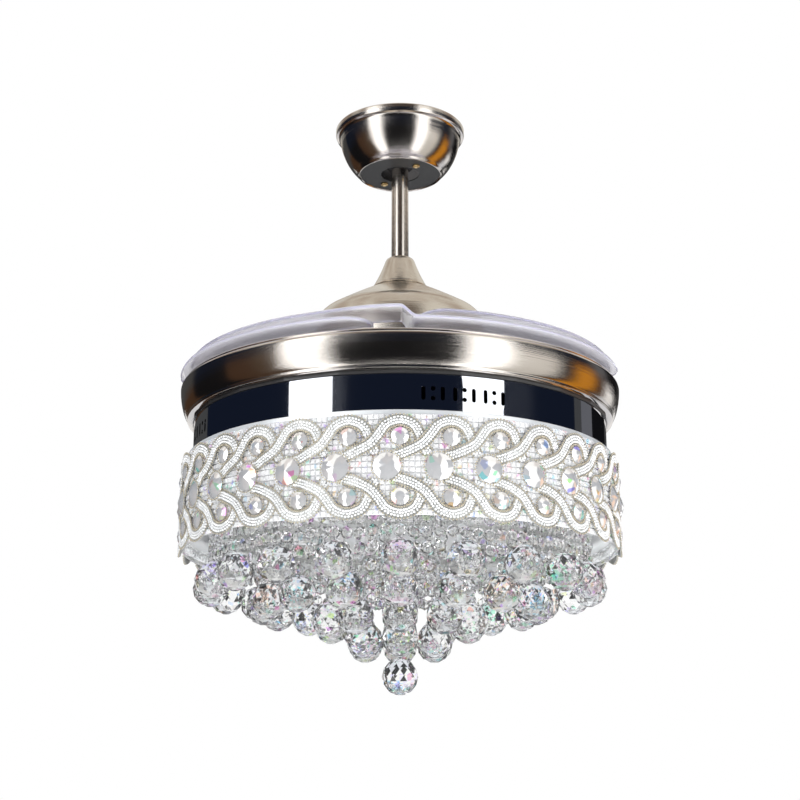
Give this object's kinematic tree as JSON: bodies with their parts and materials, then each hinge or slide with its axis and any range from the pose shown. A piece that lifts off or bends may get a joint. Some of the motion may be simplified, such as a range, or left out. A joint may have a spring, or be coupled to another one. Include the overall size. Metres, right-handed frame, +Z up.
{
  "type": "retractable blade ceiling fan",
  "caption": "Ceiling fan with a crystal light kit under a chrome drum; its curved clear blades fold over the drum's nickel ring and swing out when it spins.",
  "frame": {"origin": "on the fan's axis at the ceiling, at the top face of the hanger bracket", "axes": "+Z up into the ceiling, -Y towards the front of the pictured view, +X to its right"},
  "size_m": [0.4968, 0.4968, 0.668],
  "materials": {
    "zinc_plate": "dull zinc plate on pressed steel",
    "brushed_nickel": "finely brushed nickel plate",
    "satin_nickel": "soft satin nickel plate",
    "brass": "brass-plated screw heads",
    "black_plastic": "moulded, matte",
    "steel": "plain turned steel",
    "copper": "copper windings over laminated steel",
    "magnet": "bare ferrite magnet",
    "aluminium": "cast and machined",
    "acetal": "natural white acetal",
    "clear_blade": "clear moulded acrylic with a faint lavender cast, polished",
    "spring_steel": "oiled spring wire",
    "chrome": "mirror chrome plate",
    "white_plastic": "white, slightly glossy",
    "crystal": "clear cut crystal"
  },
  "bodies": {
    "ceiling_mount": {"hanger_bracket": "zinc_plate", "canopy": "brushed_nickel", "canopy_screw_front": "brass", "canopy_screw_back": "brass", "remote_receiver": "black_plastic"},
    "fan_body": {"hanger_ball": "black_plastic", "hanger_pin": "steel", "downrod": "brushed_nickel", "coupling": "zinc_plate", "coupling_pin": "steel", "bell_cover": "satin_nickel", "dome_cover": "satin_nickel", "motor_shaft": "steel", "stator": "copper", "bearing_upper": "steel", "bearing_lower": "steel", "drum_ring": "brushed_nickel", "chassis_plate": "zinc_plate", "shaft_nut": "steel", "drum": "chrome", "light_pan": "white_plastic", "led_board": "white_plastic", "led_driver": "black_plastic", "frame_standoff_1": "steel", "frame_standoff_2": "steel", "frame_standoff_3": "steel", "frame_standoff_4": "steel", "crystal_frame": "chrome", "band_collar": "chrome", "crystal_band": "crystal", "crystal_tier_outer": "crystal", "crystal_tier_second": "crystal", "crystal_tier_third": "crystal", "crystal_tier_inner": "crystal", "centre_drop": "crystal"},
    "rotor": {"motor_case_upper": "aluminium", "motor_case_lower": "aluminium", "magnet_ring": "magnet", "rotor_hub": "aluminium", "blade_carrier": "steel", "pivot_pin_1": "steel", "pivot_pin_2": "steel", "pivot_pin_3": "steel", "pivot_pin_4": "steel", "return_spring_1": "spring_steel", "return_spring_2": "spring_steel", "return_spring_3": "spring_steel", "return_spring_4": "spring_steel"},
    "blade_1_arm": {"blade_1": "clear_blade", "blade_gear_1": "acetal"},
    "blade_2_arm": {"blade_2": "clear_blade", "blade_gear_2": "acetal"},
    "blade_3_arm": {"blade_3": "clear_blade", "blade_gear_3": "acetal"},
    "blade_4_arm": {"blade_4": "clear_blade", "blade_gear_4": "acetal"},
    "sync_gear_body": {"sync_gear": "acetal"}
  },
  "joints": [
    {"name": "hanger_swing", "type": "hinge", "parent": "ceiling_mount", "child": "fan_body", "pos_m": [0, 0, -0.034], "axis": [1, 0, 0], "range_deg": [-8, 8]},
    {"name": "rotor_spin", "type": "hinge", "parent": "fan_body", "child": "rotor", "pos_m": [0, 0, -0.255], "axis": [0, 0, 1], "continuous": true},
    {"name": "blade_1_swing", "type": "hinge", "parent": "rotor", "child": "blade_1_arm", "pos_m": [-0.03882, 0.14489, -0.32], "axis": [0, 0, 1], "range_deg": [-150, 0], "stiffness_Nm_per_rad": 0.15, "springref_deg": 20.05},
    {"name": "blade_2_swing", "type": "hinge", "parent": "rotor", "child": "blade_2_arm", "pos_m": [-0.14489, -0.03882, -0.32], "axis": [0, 0, 1], "range_deg": [-150, 0], "stiffness_Nm_per_rad": 0.15, "springref_deg": 20.05},
    {"name": "blade_3_swing", "type": "hinge", "parent": "rotor", "child": "blade_3_arm", "pos_m": [0.03882, -0.14489, -0.32], "axis": [0, 0, 1], "range_deg": [-150, 0], "stiffness_Nm_per_rad": 0.15, "springref_deg": 20.05},
    {"name": "blade_4_swing", "type": "hinge", "parent": "rotor", "child": "blade_4_arm", "pos_m": [0.14489, 0.03882, -0.32], "axis": [0, 0, 1], "range_deg": [-150, 0], "stiffness_Nm_per_rad": 0.15, "springref_deg": 20.05},
    {"name": "sync_turn", "type": "hinge", "parent": "rotor", "child": "sync_gear_body", "pos_m": [0, 0, -0.327], "axis": [0, 0, 1], "range_deg": [0, 37.5]}
  ],
  "couplings": [
    {"joint": "blade_2_swing", "follows": "blade_1_swing", "ratio": 1},
    {"joint": "blade_3_swing", "follows": "blade_1_swing", "ratio": 1},
    {"joint": "blade_4_swing", "follows": "blade_1_swing", "ratio": 1},
    {"joint": "sync_turn", "follows": "blade_1_swing", "ratio": -0.25}
  ]
}
